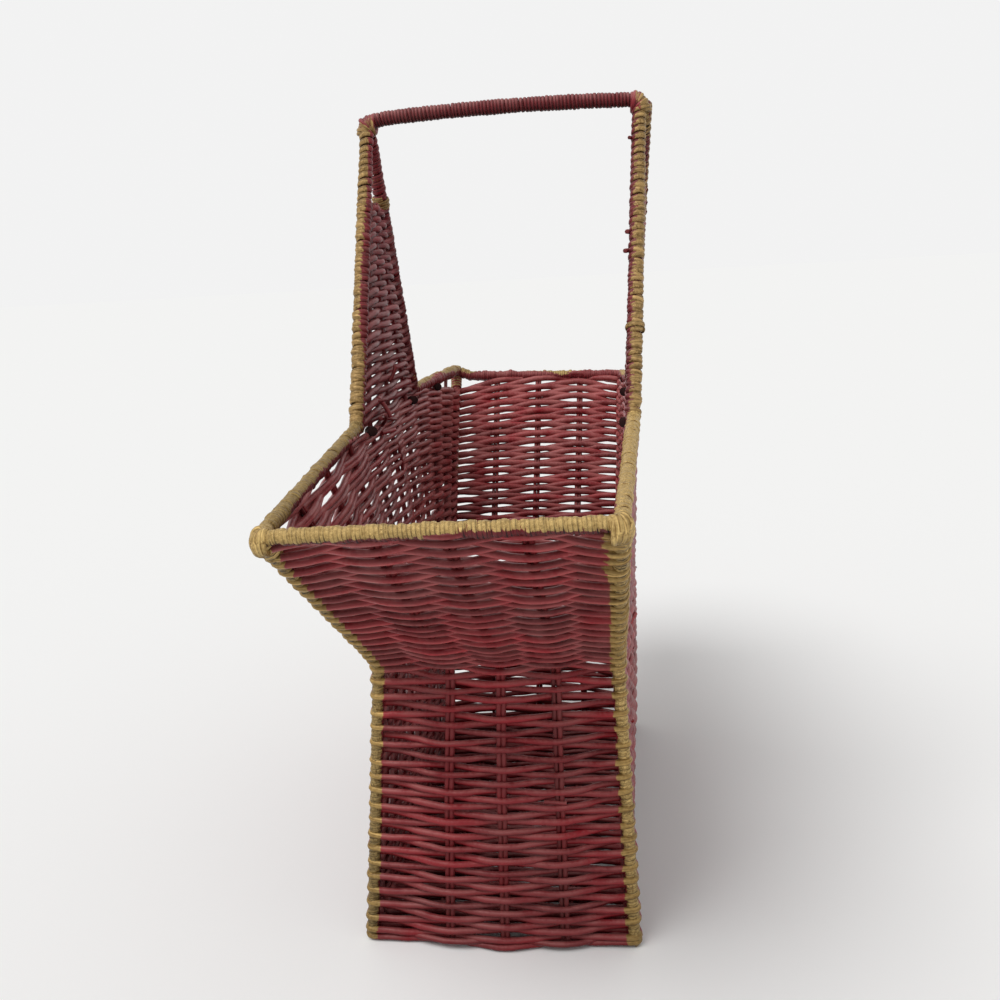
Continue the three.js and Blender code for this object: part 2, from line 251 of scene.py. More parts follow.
def grow(name, paths, tree, settings, finish, closed=False):  # paths through a tree, as one plain mesh
    data = bpy.data.curves.new(name + "Guide", "CURVE")
    data.dimensions = "3D"
    for path in paths:
        spline = data.splines.new("POLY")
        spline.points.add(len(path) - 1)
        spline.points.foreach_set("co", np.column_stack([path, np.ones(len(path))]).ravel())
        spline.use_cyclic_u = closed
    guide = bpy.data.objects.new(name + "Guide", data)
    scene.collection.objects.link(guide)
    modifier = guide.modifiers.new("grow", "NODES")
    modifier.node_group = tree
    values = {**settings, "finish": finish}
    for item in tree.interface.items_tree:
        if item.in_out == "INPUT" and item.name in values:
            modifier[item.identifier] = values[item.name]
    graph = bpy.context.evaluated_depsgraph_get()
    mesh = bpy.data.meshes.new_from_object(guide.evaluated_get(graph))
    mesh.name = name
    bpy.data.objects.remove(guide)
    piece = bpy.data.objects.new(name, mesh)
    scene.collection.objects.link(piece)
    print(name, len(mesh.polygons), "faces")
    return piece


def settle(piece, nodes):
    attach(piece, "root")
    if nodes:
        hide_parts(*nodes)


# finishes

def linear(red, green, blue):  # from the 0-255 values of a picture
    tint = np.array([red, green, blue]) / 255
    return (*np.where(tint > 0.04045, ((tint + 0.055) / 1.055) ** 2.4, tint / 12.92), 1.0)


plainLeaf = {"deep": (112, 84, 42), "bright": (206, 170, 104), "dirt": 0.0, "fill": 0.0}
finishes = {  # each may have a gold of its own
    "redReed": {
        "dark": (92, 10, 18), "light": (166, 36, 46), "dull": (124, 62, 62), "dustAndSheen": (194, 122, 118),
        "rough": 0.36, "shine": 0.2,
    },
    "darkReed": {
        "dark": (74, 14, 18), "light": (134, 42, 46), "dull": (112, 60, 58), "dustAndSheen": (166, 106, 102),
        "rough": 0.42, "shine": 0.2,
    },
    "giltReed": {
        "dark": (94, 16, 24), "light": (160, 46, 54), "dull": (128, 68, 66), "dustAndSheen": (190, 120, 114),
        "rough": 0.4, "shine": 0.22, "deep": (116, 86, 42), "bright": (234, 200, 130),
        "dirt": 0.32, "fill": 0.55,
    },
    "giltCane": {
        "dark": (88, 16, 24), "light": (154, 46, 54), "dull": (126, 68, 66), "dustAndSheen": (188, 120, 116),
        "rough": 0.4, "shine": 0.22, "deep": (104, 78, 40), "bright": (202, 166, 108), "fill": 0.3,
    },
    "barReed": {
        "dark": (88, 24, 30), "light": (148, 56, 60), "dull": (126, 68, 66), "dustAndSheen": (190, 128, 124),
        "rough": 0.4, "shine": 0.2, "deep": (112, 84, 44), "bright": (206, 168, 108),
    },
    # near-black, a painted shadow for the holes inside the saddles
    "shadowStub": {
        "dark": (30, 15, 15), "light": (54, 28, 28), "dull": (50, 32, 31), "dustAndSheen": (84, 58, 56),
        "rough": 0.6, "shine": 0.1, "deep": (112, 84, 44), "bright": (206, 168, 108),
    },
}
paintwork = {  # each noise has a scale and a detail, and each edge is where a change starts and ends
    "grain": (1.6, 4.0), "fibre": (5.0, 3.0), "stretch": (55.0, 5.0, 83.0),  # along, round and by strand
    "patch": (95.0, 3.0), "speck": (900.0, 2.0), "cloud": (32.0, 2.0), "smear": (330.0, 1.0),
    "blotch": (0.6, 0.35), "blotchEdge": (0.15, 0.8), "cloudEdge": (0.38, 0.68), "dulling": 0.5,
    "dustAndSheenSpeck": 0.4, "dustAndSheenEdge": (0.4, 0.9), "dustAndSheenMix": 0.55,
    "grooveEdge": (-0.75, 0.3), "smearEdge": (0.42, 0.62),
    "patchWear": 1.1, "speckWear": 0.6, "grooveWear": -0.3, "leafEdge": (0.36, 0.54), "leafSpeck": 0.35,
    "leafTone": (0.4, 0.95), "leafMetal": 0.2, "grooveShade": -0.65, "topFill": 0.25, "underShade": -0.45,
    "cleanEnd": (165 * mm, 174 * mm), "cleanBack": (-20 * mm, 30 * mm),  # where the gold has no dirt on it
    "foot": (-30 * mm, 100 * mm), "footShade": -0.38, "paintedShadeDepth": -0.42,
    "grainRough": 0.22, "roughShift": -0.1, "bumpSpeck": 0.5, "bump": 0.35, "bumpDepth": 0.25 * mm,
}


def makeFinish(name, look):
    look = {**plainLeaf, **look}
    finish = bpy.data.materials.new(name)
    finish.use_nodes = True
    tree = finish.node_tree
    shader = tree.nodes["Principled BSDF"]
    shader.inputs["Specular IOR Level"].default_value = look["shine"]

    def attribute(label):
        return put(tree, "ShaderNodeAttribute", attribute_name=label).outputs["Fac"]

    def mix(factor, first, second, blend="MIX"):
        return put(tree, "ShaderNodeMix", {"Factor": factor, 6: first, 7: second},
                   data_type="RGBA", blend_type=blend).outputs[2]

    def ramp(value, label):
        low, high = paintwork[label]
        return put(tree, "ShaderNodeMapRange", {"Value": value, "From Min": low, "From Max": high},
                   interpolation_type="SMOOTHSTEP").outputs[0]

    def spots(label, where):
        return noise(tree, where, *paintwork[label])["Fac"]

    def tint(label):
        return linear(*look[label])

    tone, along, way, wound = (attribute(label) for label in ("tone", "along", "round", "wound"))
    gilt, dustAndSheen, under, paintedShade = (attribute(label) for label in ("gilt", "dustAndSheen", "under", "paintedShade"))
    place = put(tree, "ShaderNodeTexCoord").outputs["Object"]
    axes = put(tree, "ShaderNodeSeparateXYZ", {0: place}).outputs
    stretched = [times(tree, *pair) for pair in zip((along, way, tone), paintwork["stretch"])]
    onReed = put(tree, "ShaderNodeCombineXYZ", dict(enumerate(stretched))).outputs[0]
    grain, fibre = (spots(label, onReed) for label in ("grain", "fibre"))
    patch, speck, cloud, smear = (spots(label, place) for label in ("patch", "speck", "cloud", "smear"))

    # red, dull in clouds, with dust and a painted sheen on top
    ofGrain, ofTone = paintwork["blotch"]
    blotch = timesPlus(tree, grain, ofGrain, times(tree, tone, ofTone))
    red = mix(ramp(blotch, "blotchEdge"), tint("dark"), tint("light"))
    red = mix(times(tree, ramp(cloud, "cloudEdge"), paintwork["dulling"]), red, tint("dull"))
    # the pinkish dust colour also stands in for a painted sheen on top-facing sides
    sheenAndDust = times(tree, dustAndSheen, ramp(timesPlus(tree, speck, paintwork["dustAndSheenSpeck"], patch), "dustAndSheenEdge"))
    red = mix(times(tree, sheenAndDust, paintwork["dustAndSheenMix"]), red, tint("dustAndSheen"))

    # gold, worn off in patches and thin in the grooves between turns
    outer = calc(tree, "COSINE", times(tree, way, 2 * math.pi))  # 1 on a strip's outer face, -1 underneath
    groove = times(tree, wound, ramp(times(tree, outer, -1.0), "grooveEdge"))
    groove = times(tree, groove, timesPlus(tree, ramp(smear, "smearEdge"), look["fill"], 1.0 - look["fill"]))
    worn = timesPlus(tree, centred(tree, patch), paintwork["patchWear"], gilt)
    worn = timesPlus(tree, centred(tree, speck), paintwork["speckWear"], worn)
    worn = times(tree, timesPlus(tree, groove, paintwork["grooveWear"], 1.0), worn)
    cover = ramp(worn, "leafEdge")
    leafTone = ramp(timesPlus(tree, speck, paintwork["leafSpeck"], grain), "leafTone")
    leaf = mix(leafTone, tint("deep"), tint("bright"))

    # painted shade in the grooves, underneath, towards the foot, between rows and on marked turns and nubs;
    # dirt on the front's gold
    depth = timesPlus(tree, dustAndSheen, paintwork["topFill"], paintwork["grooveShade"])
    shade = timesPlus(tree, groove, depth, timesPlus(tree, under, paintwork["underShade"], 1.0))
    clean = calc(tree, "MAXIMUM", ramp(axes["X"], "cleanEnd"), ramp(axes["Y"], "cleanBack"))
    dirt = times(tree, calc(tree, "SUBTRACT", 1.0, clean), times(tree, cover, -look["dirt"]))
    # painted shade, darker towards the foot
    aboveFoot = ramp(axes["Z"], "foot")
    dirt = timesPlus(tree, calc(tree, "SUBTRACT", 1.0, aboveFoot), paintwork["footShade"], dirt)
    # painted shade between rows, and on the marked turns and nubs
    dirt = timesPlus(tree, paintedShade, paintwork["paintedShadeDepth"], dirt)
    shade = times(tree, shade, calc(tree, "ADD", dirt, 1.0))
    grey = put(tree, "ShaderNodeCombineColor", {0: shade, 1: shade, 2: shade}).outputs[0]

    rough = timesPlus(tree, grain, paintwork["grainRough"], look["rough"] + paintwork["roughShift"])
    height = calc(tree, "ADD", fibre, times(tree, speck, paintwork["bumpSpeck"]))
    bump = put(tree, "ShaderNodeBump", {
        "Strength": paintwork["bump"], "Distance": paintwork["bumpDepth"], "Height": height})
    for label, value in (("Base Color", mix(1.0, mix(cover, red, leaf), grey, "MULTIPLY")),
                         ("Metallic", times(tree, cover, paintwork["leafMetal"])),
                         ("Roughness", rough), ("Normal", bump.outputs[0])):
        tree.links.new(value, shader.inputs[label])
    return finish


redReed, darkReed, giltReed, giltCane, barReed, shadowStub = (makeFinish(*item) for item in finishes.items())
print("finishes mixed")


# where the gold brush went, where dust and painted highlights lie, and where painted shade lies: all kept as
# point attributes

dustSheenAndShade = {
    "dustAndSheen": (-0.1, 0.75), "under": (0.05, 0.8),  # how far up or down a side faces
    "farEnd": (85 * mm, 125 * mm), "inside": (0.1, 0.8), "farPale": 1.1, "insideHighlight": 1.3, "crestHighlight": 0.6,
    "turned": (0.35, 0.95), "farShadeCut": 0.75, "insideUnder": 0.7,
}


def brush(piece, rule=None, rise=None, paintedShadeRule=None):
    mesh = piece.data
    count = len(mesh.vertices)
    places, normals = np.empty(count * 3), np.empty(count * 3)
    mesh.vertices.foreach_get("co", places)
    mesh.vertex_normals.foreach_get("vector", normals)
    places, normals = places.reshape(-1, 3), normals.reshape(-1, 3)
    # dust with a painted sheen on sides that face up, painted shade on sides that face down
    marks = {"gilt": rule(places, normals) if rule else np.zeros(count),
             "dustAndSheen": smoothStep(normals[:, 2], *dustSheenAndShade["dustAndSheen"]),
             "under": smoothStep(-normals[:, 2], *dustSheenAndShade["under"])}
    if rise:  # painted shade on sides turned to the next row, painted highlights on the crests
        onEnd, way = rise(places)
        far = smoothStep(-places[:, 0], *dustSheenAndShade["farEnd"])  # the far end is the dustiest
        turned = smoothStep(np.abs((normals * way).sum(1)), *dustSheenAndShade["turned"])
        marks["paintedShade"] = onEnd * (1 - dustSheenAndShade["farShadeCut"] * far) * turned
        # a painted highlight on sides that face inward, and paler dust at the far end
        inside = smoothStep(normals[:, 1] * np.sign(middleY - places[:, 1]), *dustSheenAndShade["inside"])
        dustAndHighlight = np.maximum(dustSheenAndShade["farPale"] * far, dustSheenAndShade["insideHighlight"] * inside)
        dustAndHighlight = np.maximum(dustAndHighlight, dustSheenAndShade["crestHighlight"] * onEnd * (1 - marks["paintedShade"]))
        marks["dustAndSheen"] = np.maximum(marks["dustAndSheen"], dustAndHighlight)
        marks["under"] *= (1 - onEnd) * (1 - dustSheenAndShade["insideUnder"] * inside)
    # painted shade laid by a given rule
    if paintedShadeRule:
        marks["paintedShade"] = paintedShadeRule(places, normals)
    for name, values in marks.items():
        mesh.attributes.new(name, "FLOAT", "POINT").data.foreach_set("value", values.astype(np.float32))


def smoothStep(values, low, high):
    share = np.clip((values - low) / (high - low), 0, 1)
    return share * share * (3 - 2 * share)


# the frame's centre lines

levels = {  # mm: height, half length, front and back
    "base": (4.6, 93.5, -52.5, 52.5),
    "waist": (119.0, 90.5, -42.5, 49.5),
    "rim": (195.5, 176.5, -49.0, 53.0),
    "saddle": (203.0, 55.0, -51.0, 57.5),
    "peak": (323.9, 0.0, -49.5, 63.5),
}
pulls = {  # mm: where the hand-made frame is a little out of true
    ("rim", 1, -1): (0.0, 0.8, -1.7),
    ("waist", 1, -1): (0.0, 1.6, 0.0),
    ("rim", -1, -1): (0.0, 0.0, -1.5),
    ("rim", -1, 1): (0.0, 0.0, -5.0),
}
railBoxes = [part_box("base_rail_front"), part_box("base_rail_back")]
middleY = sum((low.y + high.y) / 4 for low, high in railBoxes)


def corner(level, end, side):
    z, half, front, back = levels[level]
    pull = np.array(pulls.get((level, end, side), (0, 0, 0))) * mm
    return np.array([end * half * mm, (front if side < 0 else back) * mm + middleY, z * mm]) + pull


def rimPoint(side, x):  # the long rims rise and bulge towards the saddle
    end = 1 if x >= 0 else -1
    low, high = corner("rim", end, side), corner("saddle", end, side)
    share = min(1.0, (abs(low[0]) - abs(x)) / (abs(low[0]) - abs(high[0])))
    point = low + (high - low) * share
    point[0] = x
    return point


def unit(vector):
    return vector / np.linalg.norm(vector)


def between(first, second, share):
    return first + (second - first) * share


stakes = {
    "endCount": 3, "sideCount": 9, "nearShares": (0.0, 0.31, 0.52, 0.745),  # of the near end's breadth
    "middle": 5, "halfGap": 0.9 * mm, "spacing": 5.0 * mm, "sagReach": 3,
    "peakSpread": 5.0 * mm, "peakShare": 0.725, "peakBends": (0.06, 0.2, 0.6, 1.0),
    "reed": {"radius": 0.95 * mm, "spread": 0.2, "wobble": 0.4 * mm, "sides": 7, "seed": 3},
}
standsBeside = 2.4 * mm


def uprightLine(end, side):
    low, high = corner("saddle", end, side), corner("peak", end, side)
    if (end, side) == (-1, 1):  # this one stands beside its partner at the top
        high[1] += standsBeside
    return low, high


def ringStandards():  # posts and stakes in order round the basket, with the outward side of both walls
    ring = []
    walls = [(1, None), (None, 1), (-1, None), (None, -1)]
    for end, side in walls:
        if end:
            start, stop = (end, -end), (end, end)
            count, outward = stakes["endCount"], np.array([end, 0.0, 0.0])
        else:
            start, stop = (side, side), (-side, side)
            count, outward = stakes["sideCount"], np.array([0.0, side, 0.0])
        ends = [[corner(level, *key) for level in ("base", "waist", "rim")] for key in (start, stop)]
        normals = []
        for low in (0, 1):
            bottom, top = (between(ends[0][k], ends[1][k], 0.5) for k in (low, low + 1))
            facing = unit(np.cross(ends[1][low] - ends[0][low], top - bottom))
            normals.append(facing * np.sign(facing @ outward))
        for i in range(count + 1):
            share = stakes["nearShares"][i] if end == 1 else i / (count + 1)
            line = [between(ends[0][k], ends[1][k], share) for k in range(3)]
            if side:
                line[2] = rimPoint(side, line[2][0])
            ring.append({"line": line, "facings": [normals], "post": i == 0, "wall": (end, side),
                         "index": i, "across": share * 2 - 1})
    sagging = next(i for i, item in enumerate(ring) if item["post"] and item["wall"] == (None, -1))
    for i, item in enumerate(ring):
        if item["post"]:
            item["facings"].append(ring[i - 1]["facings"][0])
        # rows hang low at the far front corner
        item["sag"] = max(0.0, 1 - abs(i - sagging) / stakes["sagReach"])
    return ring


ring = ringStandards()


def peakStands(side):  # the three middle stakes of a long wall, from its rim to the top of its peak
    centre = between(*(between(*uprightLine(end, side), stakes["peakShare"]) for end in (-1, 1)), 0.5)
    stands = {}
    for item in ring:
        steps = (item["index"] - stakes["middle"]) * -side
        if item["wall"][1] == side and abs(steps) <= 1:
            stands[steps] = item["line"][2], centre + np.array([steps * stakes["peakSpread"], 0, 0])
    return stands


def straight(first, second, spacing):
    count = max(2, round(np.linalg.norm(second - first) / spacing))
    return [between(first, second, i / count) for i in range(count + 1)]


def threaded(points, spacing, closed):  # smooth path through the points, evened out
    points = np.array(points)
    if closed:
        points = np.vstack([points[-2:], points, points[:2]])
    else:
        points = np.vstack([2 * points[0] - points[1], points, 2 * points[-1] - points[-2]])
    gaps = np.linalg.norm(np.diff(points, axis=0), axis=1)[:, None]
    slopes = np.diff(points, axis=0) / gaps
    tangents = (slopes[:-1] * gaps[1:] + slopes[1:] * gaps[:-1]) / (gaps[1:] + gaps[:-1])
    path = []
    first, last = (1, len(points) - 3) if closed else (0, len(tangents) - 1)
    for i in range(first, last):
        start, stop, gap = points[i + 1], points[i + 2], gaps[i + 1, 0]
        steps = max(2, round(gap / spacing))
        for t in np.arange(steps) / steps:
            square, cube = t * t, t * t * t
            path.append(start * (2 * cube - 3 * square + 1) + tangents[i] * gap * (cube - 2 * square + t)
                        + stop * (3 * square - 2 * cube) + tangents[i + 1] * gap * (cube - square))
    if not closed:
        path.append(points[-2])
    return np.array(path)


# walls: rows of reed go round the basket, in front of one stake and behind the next

wallReed = {
    "lower": {
        "radius": 1.26 * mm, "spread": 0.24, "wobble": 1.0 * mm, "taper": 0.0, "sides": 8, "seed": 11,
    },
    "collar": {
        "radius": 1.2 * mm, "spread": 0.2, "wobble": 0.9 * mm, "taper": 0.52, "sides": 8, "seed": 12,
    },
}
rows = {
    "lower": 37, "collar": 39, "footInset": -2.8 * mm, "rimInset": 4.3 * mm, "waistBend": 0.07, "seed": 21,
    "spacing": 2.7 * mm, "waver": 0.5 * mm, "waves": (2, 3, 5), "jitter": 0.22 * mm,
    "reach": 1.55 * mm, "reachShares": (0.85, 1.15),
    "postReach": 1.9 * mm, "lead": 4.0 * mm, "leadShare": 0.9,
    "bulgeHeights": (0.0, 0.25, 0.55, 0.8, 1.0),  # of the ends
    "bulges": (5.0 * mm, 6.82 * mm, 7.6 * mm, 4.84 * mm, 3.0 * mm), "belly": 6.5 * mm,
    "sideArch": 0.09, "endArch": 0.05, "squeeze": 0.07, "sag": 0.07,
    "looseFrom": 1.5, "looseRate": 2.6, "loosen": 3.0, "bunch": 4, "bunching": 1.3 * mm,
    "frontBelly": (2.0 * mm, 0.3, 1.7, 0.0),  # depth, start, height and lean to the far end
    "backBelly": (4.4 * mm, 0.0, 1.8, 0.7),
    "tuck": 2.0 * mm, "tuckHeight": 0.9, "tuckRate": 4,  # the back is drawn in at its foot
}


def clamp(value):
    return min(1.0, max(0.0, value))


# place, outward sides and rise of a post or stake, where u is 0 at the base, 1 at the waist and 2 at the rim
def standAt(item, u):
    low, middle, high = item["line"]
    end, side = item["wall"]
    room = 1 - item["across"] ** 2  # nothing beside a post, 1 in the middle of a wall
    if 1 < u < 2:
        lift = rows["sideArch"] * math.sin(math.pi * (u - 1)) if side else rows["endArch"] * (u - 1)
        u = min(2.0, u + lift * room)
    bend = rows["waistBend"]
    t = clamp((u - 1 + bend) / (2 * bend))
    if t <= 0:
        place, rise = between(low, middle, u), middle - low
    elif t >= 1:
        place, rise = between(middle, high, u - 1), high - middle
    else:
        into, out = between(low, middle, 1 - bend), between(middle, high, bend)
        place = into * (1 - t) ** 2 + middle * 2 * t * (1 - t) + out * t * t
        rise = (middle - into) * (1 - t) + (out - middle) * t
    facings = [unit(between(*pair, t)) for pair in item["facings"]]
    if end:
        rest = clamp(2 - u)
        bulge = np.interp(u, rows["bulgeHeights"], rows["bulges"])
        place = place + np.array([end, 0, 0]) * bulge * room * rest
        place = place + facings[0] * rows["belly"] * room * rest * (1 - rest)
    else:
        depth, start, height, skew = rows["backBelly" if side > 0 else "frontBelly"]
        swell = depth * room * math.sin(math.pi * clamp((u - start) / height)) * (1 + skew * item["across"])
        if side > 0:
            swell -= rows["tuck"] * min(1.0, rows["tuckRate"] * room) * max(0.0, 1 - u / rows["tuckHeight"])
        place = place + facings[0] * swell
    return place, facings, unit(rise)


def ringRow(u, row, random):
    starts = random.uniform(0, 2 * math.pi, len(rows["waves"]))
    lift = random.normal(0, rows["jitter"])
    stands = []
    for j, item in enumerate(ring):
        way = 2 * math.pi * j / len(ring)
        waver = sum(math.sin(k * way + start) for k, start in zip(rows["waves"], starts)) / len(starts)
        place, facings, rise = standAt(item, u - rows["sag"] * item["sag"] * max(0.0, u - 1))
        uneven = rows["jitter"]
        shift = lift + waver * rows["waver"]
        if item["wall"][1] == -1:  # rows are loose, and lie in bunches, under the near half of the front rim
            slack = min(1.0, max(0.0, item["across"]) * max(0.0, u - rows["looseFrom"]) * rows["looseRate"])
            uneven *= 1 + rows["loosen"] * slack
            shift += ((rows["bunch"] - 1) / 2 - row % rows["bunch"]) * rows["bunching"] * slack
        stands.append((place + rise * (shift + random.normal(0, uneven)), facings))
    points = []
    for j, item in enumerate(ring):
        place, facings = stands[j]
        inFront = (j + row) % 2 == 0
        if not item["post"]:
            reach = (1 if inFront else -1) * rows["reach"] * random.uniform(*rows["reachShares"])
            points.append(place + facings[0] * reach)
            continue
        into = unit(place - stands[j - 1][0]) * rows["lead"]
        out = unit(stands[j + 1][0] - place) * rows["lead"]
        away = rows["postReach"] * (1 if inFront else -1)
        points.append(place - into + facings[1] * away * rows["leadShare"])
        if inFront:
            points += [place + d * away for d in (facings[1], unit(facings[0] + facings[1]), facings[0])]
        else:
            points.append(place + unit(facings[0] + facings[1]) * away)
        points.append(place + out + facings[0] * away * rows["leadShare"])
    return threaded(points, rows["spacing"], True)


def rowHeights():  # measured along the middle of the near end, closest at the foot
    low, middle, high = ring[2]["line"]
    lengths = np.linalg.norm(middle - low), np.linalg.norm(high - middle)
    steps = np.linspace(0, 1, rows["lower"] + 1)[:-1]
    foot = rows["footInset"] / lengths[0]
    lower = foot + (1 - foot) * (steps - rows["squeeze"] * steps * (1 - steps))
    lower = np.insert(lower, 1, between(*lower[:2], 0.5))  # one more is pressed in at the foot
    collar = 1 + np.linspace(0, 1 - rows["rimInset"] / lengths[1], rows["collar"])
    return {"lower": lower, "collar": collar}


postPlaces = [item for item in ring if item["post"]]


postGold = {
    "margin": 0.7 * mm, "edge": (4.0 * mm, 5.0 * mm),
    "outX": (-1.6 * mm, -0.4 * mm), "outY": (-1.9 * mm, -0.9 * mm),
    "stroke": (0.6 * mm, 2.2 * mm, 0.5 * mm), "ripples": (700, 1130),  # breadth, growth and waver
}


def nearPosts(places, normals):  # gold on the outer sides of each turn round a corner post
    mark = np.zeros(len(places))
    for item in postPlaces:
        outX, outY = np.sign(item["line"][1][0]), np.sign(item["line"][1][1] - middleY)
        for low, high in zip(item["line"], item["line"][1:]):
            rise = high - low
            share = np.clip(((places - low) @ rise) / (rise @ rise), 0, 1)
            apart = places - (low + share[:, None] * rise)
            wide = np.full(len(places), postGold["margin"])
            if outX > 0 and outY > 0 and low is item["line"][1]:  # a broad stroke down the near back post
                start, growth, waver = postGold["stroke"]
                ripple = np.prod([np.sin(places[:, 2] * rate) for rate in postGold["ripples"]], axis=0)
                wide = start + growth * share + waver * ripple
            distance = np.linalg.norm(apart, axis=1)
            close = 1 - smoothStep(distance, *(edge + wide for edge in postGold["edge"]))
            close *= smoothStep(apart[:, 0] * outX, *postGold["outX"])
            close *= smoothStep(apart[:, 1] * outY, *(edge - wide for edge in postGold["outY"]))
            mark = np.maximum(mark, close)
    return mark


endEdge = -8 * mm, -5 * mm  # from the corner posts' line, outwards


def endRise(places):  # which points are on the flared ends, and the way up those ends
    low, high = corner("waist", 1, 1), corner("rim", 1, 1)
    share = (places[:, 2] - low[2]) / (high[2] - low[2])
    edge = low[0] + share * (high[0] - low[0])
    ways = np.zeros_like(places)
    ways[:, 0], ways[:, 2] = np.sign(places[:, 0]) * (high[0] - low[0]), high[2] - low[2]
    return smoothStep(np.abs(places[:, 0]) - edge, *endEdge), ways / np.linalg.norm(ways[0])


wallNames = ("front", "back", "left", "right")
wallRandom = np.random.default_rng(rows["seed"])
row = 0
for part, heights in rowHeights().items():
    paths = []
    for u in heights:
        paths.append(ringRow(u, row, wallRandom))
        row += 1
    wall = grow(part + "Wattle", paths, reedSweep, wallReed[part], redReed, closed=True)
    brush(wall, nearPosts, endRise if part == "collar" else None)
    settle(wall, [f"wattle_{part}_{name}" for name in wallNames])


# stakes: pairs of thin reeds side by side, of which the middle ones of the long walls rise into the peaks

def stakePaths():
    paths = []
    for item in ring:
        if item["post"]:
            continue
        end, side = item["wall"]
        line = [standAt(item, u)[0] for u in np.linspace(0, 2, 41)]
        sideways = unit(np.cross(item["facings"][0][0], np.array([0.0, 0.0, 1.0])))
        steps = (item["index"] - stakes["middle"]) * -(side or 0)
        if side and abs(steps) <= 1:
            line += [between(*peakStands(side)[steps], share) for share in stakes["peakBends"]]
        for shift in (-1, 1):
            beside = [place + sideways * shift * stakes["halfGap"] for place in line]
            paths.append(threaded(beside, stakes["spacing"], False))
    return paths


stakePiece = grow("wallStakes", stakePaths(), reedSweep, stakes["reed"], darkReed)
brush(stakePiece)
stakeCounts = {"left": 3, "right": 3, "front": 6, "back": 6}  # of the solids
wallStakes = [f"stake_{name}_{i + 1}" for name, count in stakeCounts.items() for i in range(count)]
settle(stakePiece, wallStakes)


# base: rows across three pairs of stakes, inside a rail of plain rods

base = {
    "stakes": 3, "pitch": 2.7 * mm, "inset": 3.0 * mm, "railInset": 2.2 * mm, "seed": 31,
    "jitter": 0.15 * mm, "spacing": 4.0 * mm,
    "row": {"radius": 1.2 * mm, "spread": 0.2, "wobble": 0.5 * mm, "sides": 7, "seed": 32},
    "rail": {"radius": 1.4 * mm, "spread": 0.15, "wobble": 0.4 * mm, "sides": 10, "seed": 33},
}


def makeBase():
    random = np.random.default_rng(base["seed"])
    order = (-1, -1), (1, -1), (1, 1), (-1, 1)
    corners = {key: corner("base", *key) for key in order}
    reach, z = corners[(1, 1)][0], corners[(1, 1)][2]
    xs = np.arange(-reach + base["inset"], reach - base["inset"], base["pitch"])
    ys = np.linspace(corners[(1, -1)][1], corners[(1, 1)][1], base["stakes"] + 2)
    paths = []
    for row, x in enumerate(xs):
        x += random.normal(0, base["jitter"])
        points = [np.array([x, y, z]) for y in ys]
        for i, point in enumerate(points[1:-1]):
            point[2] += rows["reach"] * (1 if (i + row) % 2 else -1)
        paths.append(threaded(points, base["spacing"], False))
    weave = grow("baseWattle", paths, reedSweep, base["row"], redReed)
    brush(weave)
    settle(weave, ["wattle_base"])
    paths = [np.array([[x, y + s * stakes["halfGap"], z] for x in np.linspace(-reach, reach, 30)])
             for y in ys[1:-1] for s in (-1, 1)]
    ribs = grow("baseStakes", paths, reedSweep, stakes["reed"], darkReed)
    brush(ribs)
    settle(ribs, [f"stake_base_{i + 1}" for i in range(base["stakes"])])
    inner = {key: corners[key] - np.array([key[0], key[1], 0]) * base["railInset"] for key in order}
    paths = [np.array([between(inner[a], inner[b], s) for s in np.linspace(0, 1, 40)])
             for a, b in zip(order, order[1:] + order[:1])]
    rails = grow("baseRails", paths, reedSweep, base["rail"], redReed)
    brush(rails, nearPosts)
    settle(rails, [f"base_rail_{name}" for name in wallNames])


makeBase()


# corner posts: a thin rod inside, wound with cane between the turns of the rows

posts = {
    "rod": {"radius": 1.0 * mm, "spread": 0.1, "wobble": 0.2 * mm, "sides": 10, "seed": 41},
    "cane": {
        "core": 1.35 * mm, "pitch": 2.0 * mm, "width": 2.7 * mm, "thickness": 1.2 * mm, "slack": 0.5 * mm,
        "drift": 0.7, "steps": 10, "sides": 8, "seed": 42,
    },
    "foot": 1.4 * mm,
}
postPaths = []
for item in postPlaces:
    path = [standAt(item, u)[0] for u in np.linspace(0, 2, 81)]
    path.insert(0, path[0] * np.array([1, 1, 0]) + np.array([0, 0, posts["foot"]]))
    postPaths.append(np.array(path))
postRods = grow("postRods", postPaths, reedSweep, posts["rod"], giltReed)
postCane = grow("postCane", postPaths, stripWinding, posts["cane"], giltReed)
postNames = [f"post_{side}_{end}" for side in ("front", "back") for end in ("left", "right")]
for piece, nodes in ((postRods, postNames), (postCane, [])):
    brush(piece, nearPosts)
    settle(piece, nodes)


# rim: rods bound with narrow cane, gold outside and on top

rim = {
    "rod": {"radius": 1.2 * mm, "spread": 0.1, "wobble": 0.5 * mm, "sides": 10, "seed": 51},
    "cane": {
        "core": 1.8 * mm, "pitch": 1.3 * mm, "width": 2.1 * mm, "thickness": 1.0 * mm, "slack": 1.7 * mm,
        "lumps": 1.4 * mm, "drift": 1.3, "taper": 0.14, "steps": 12, "sides": 10, "seed": 52,
    },
    "knot": {
        "core": 2.2 * mm, "pitch": 2.0 * mm, "width": 2.2 * mm, "thickness": 1.1 * mm, "slack": 0.8 * mm,
        "lumps": 0.6 * mm, "drift": 1.0, "steps": 14, "sides": 8, "seed": 53,
    },
    "fan": {"radius": 0.85 * mm, "spread": 0.3, "wobble": 0.6 * mm, "sides": 8, "seed": 54},
    "fanCount": 9, "fanDepth": 2.3 * mm, "fanBreadth": 3.3 * mm, "fanDrop": 1.6 * mm, "fanSeed": 55,
    "bend": 4.0 * mm, "knotDrop": 11.0 * mm, "rise": 8.0 * mm, "onTop": 4.0 * mm, "levelAfter": 8.8 * mm,
}
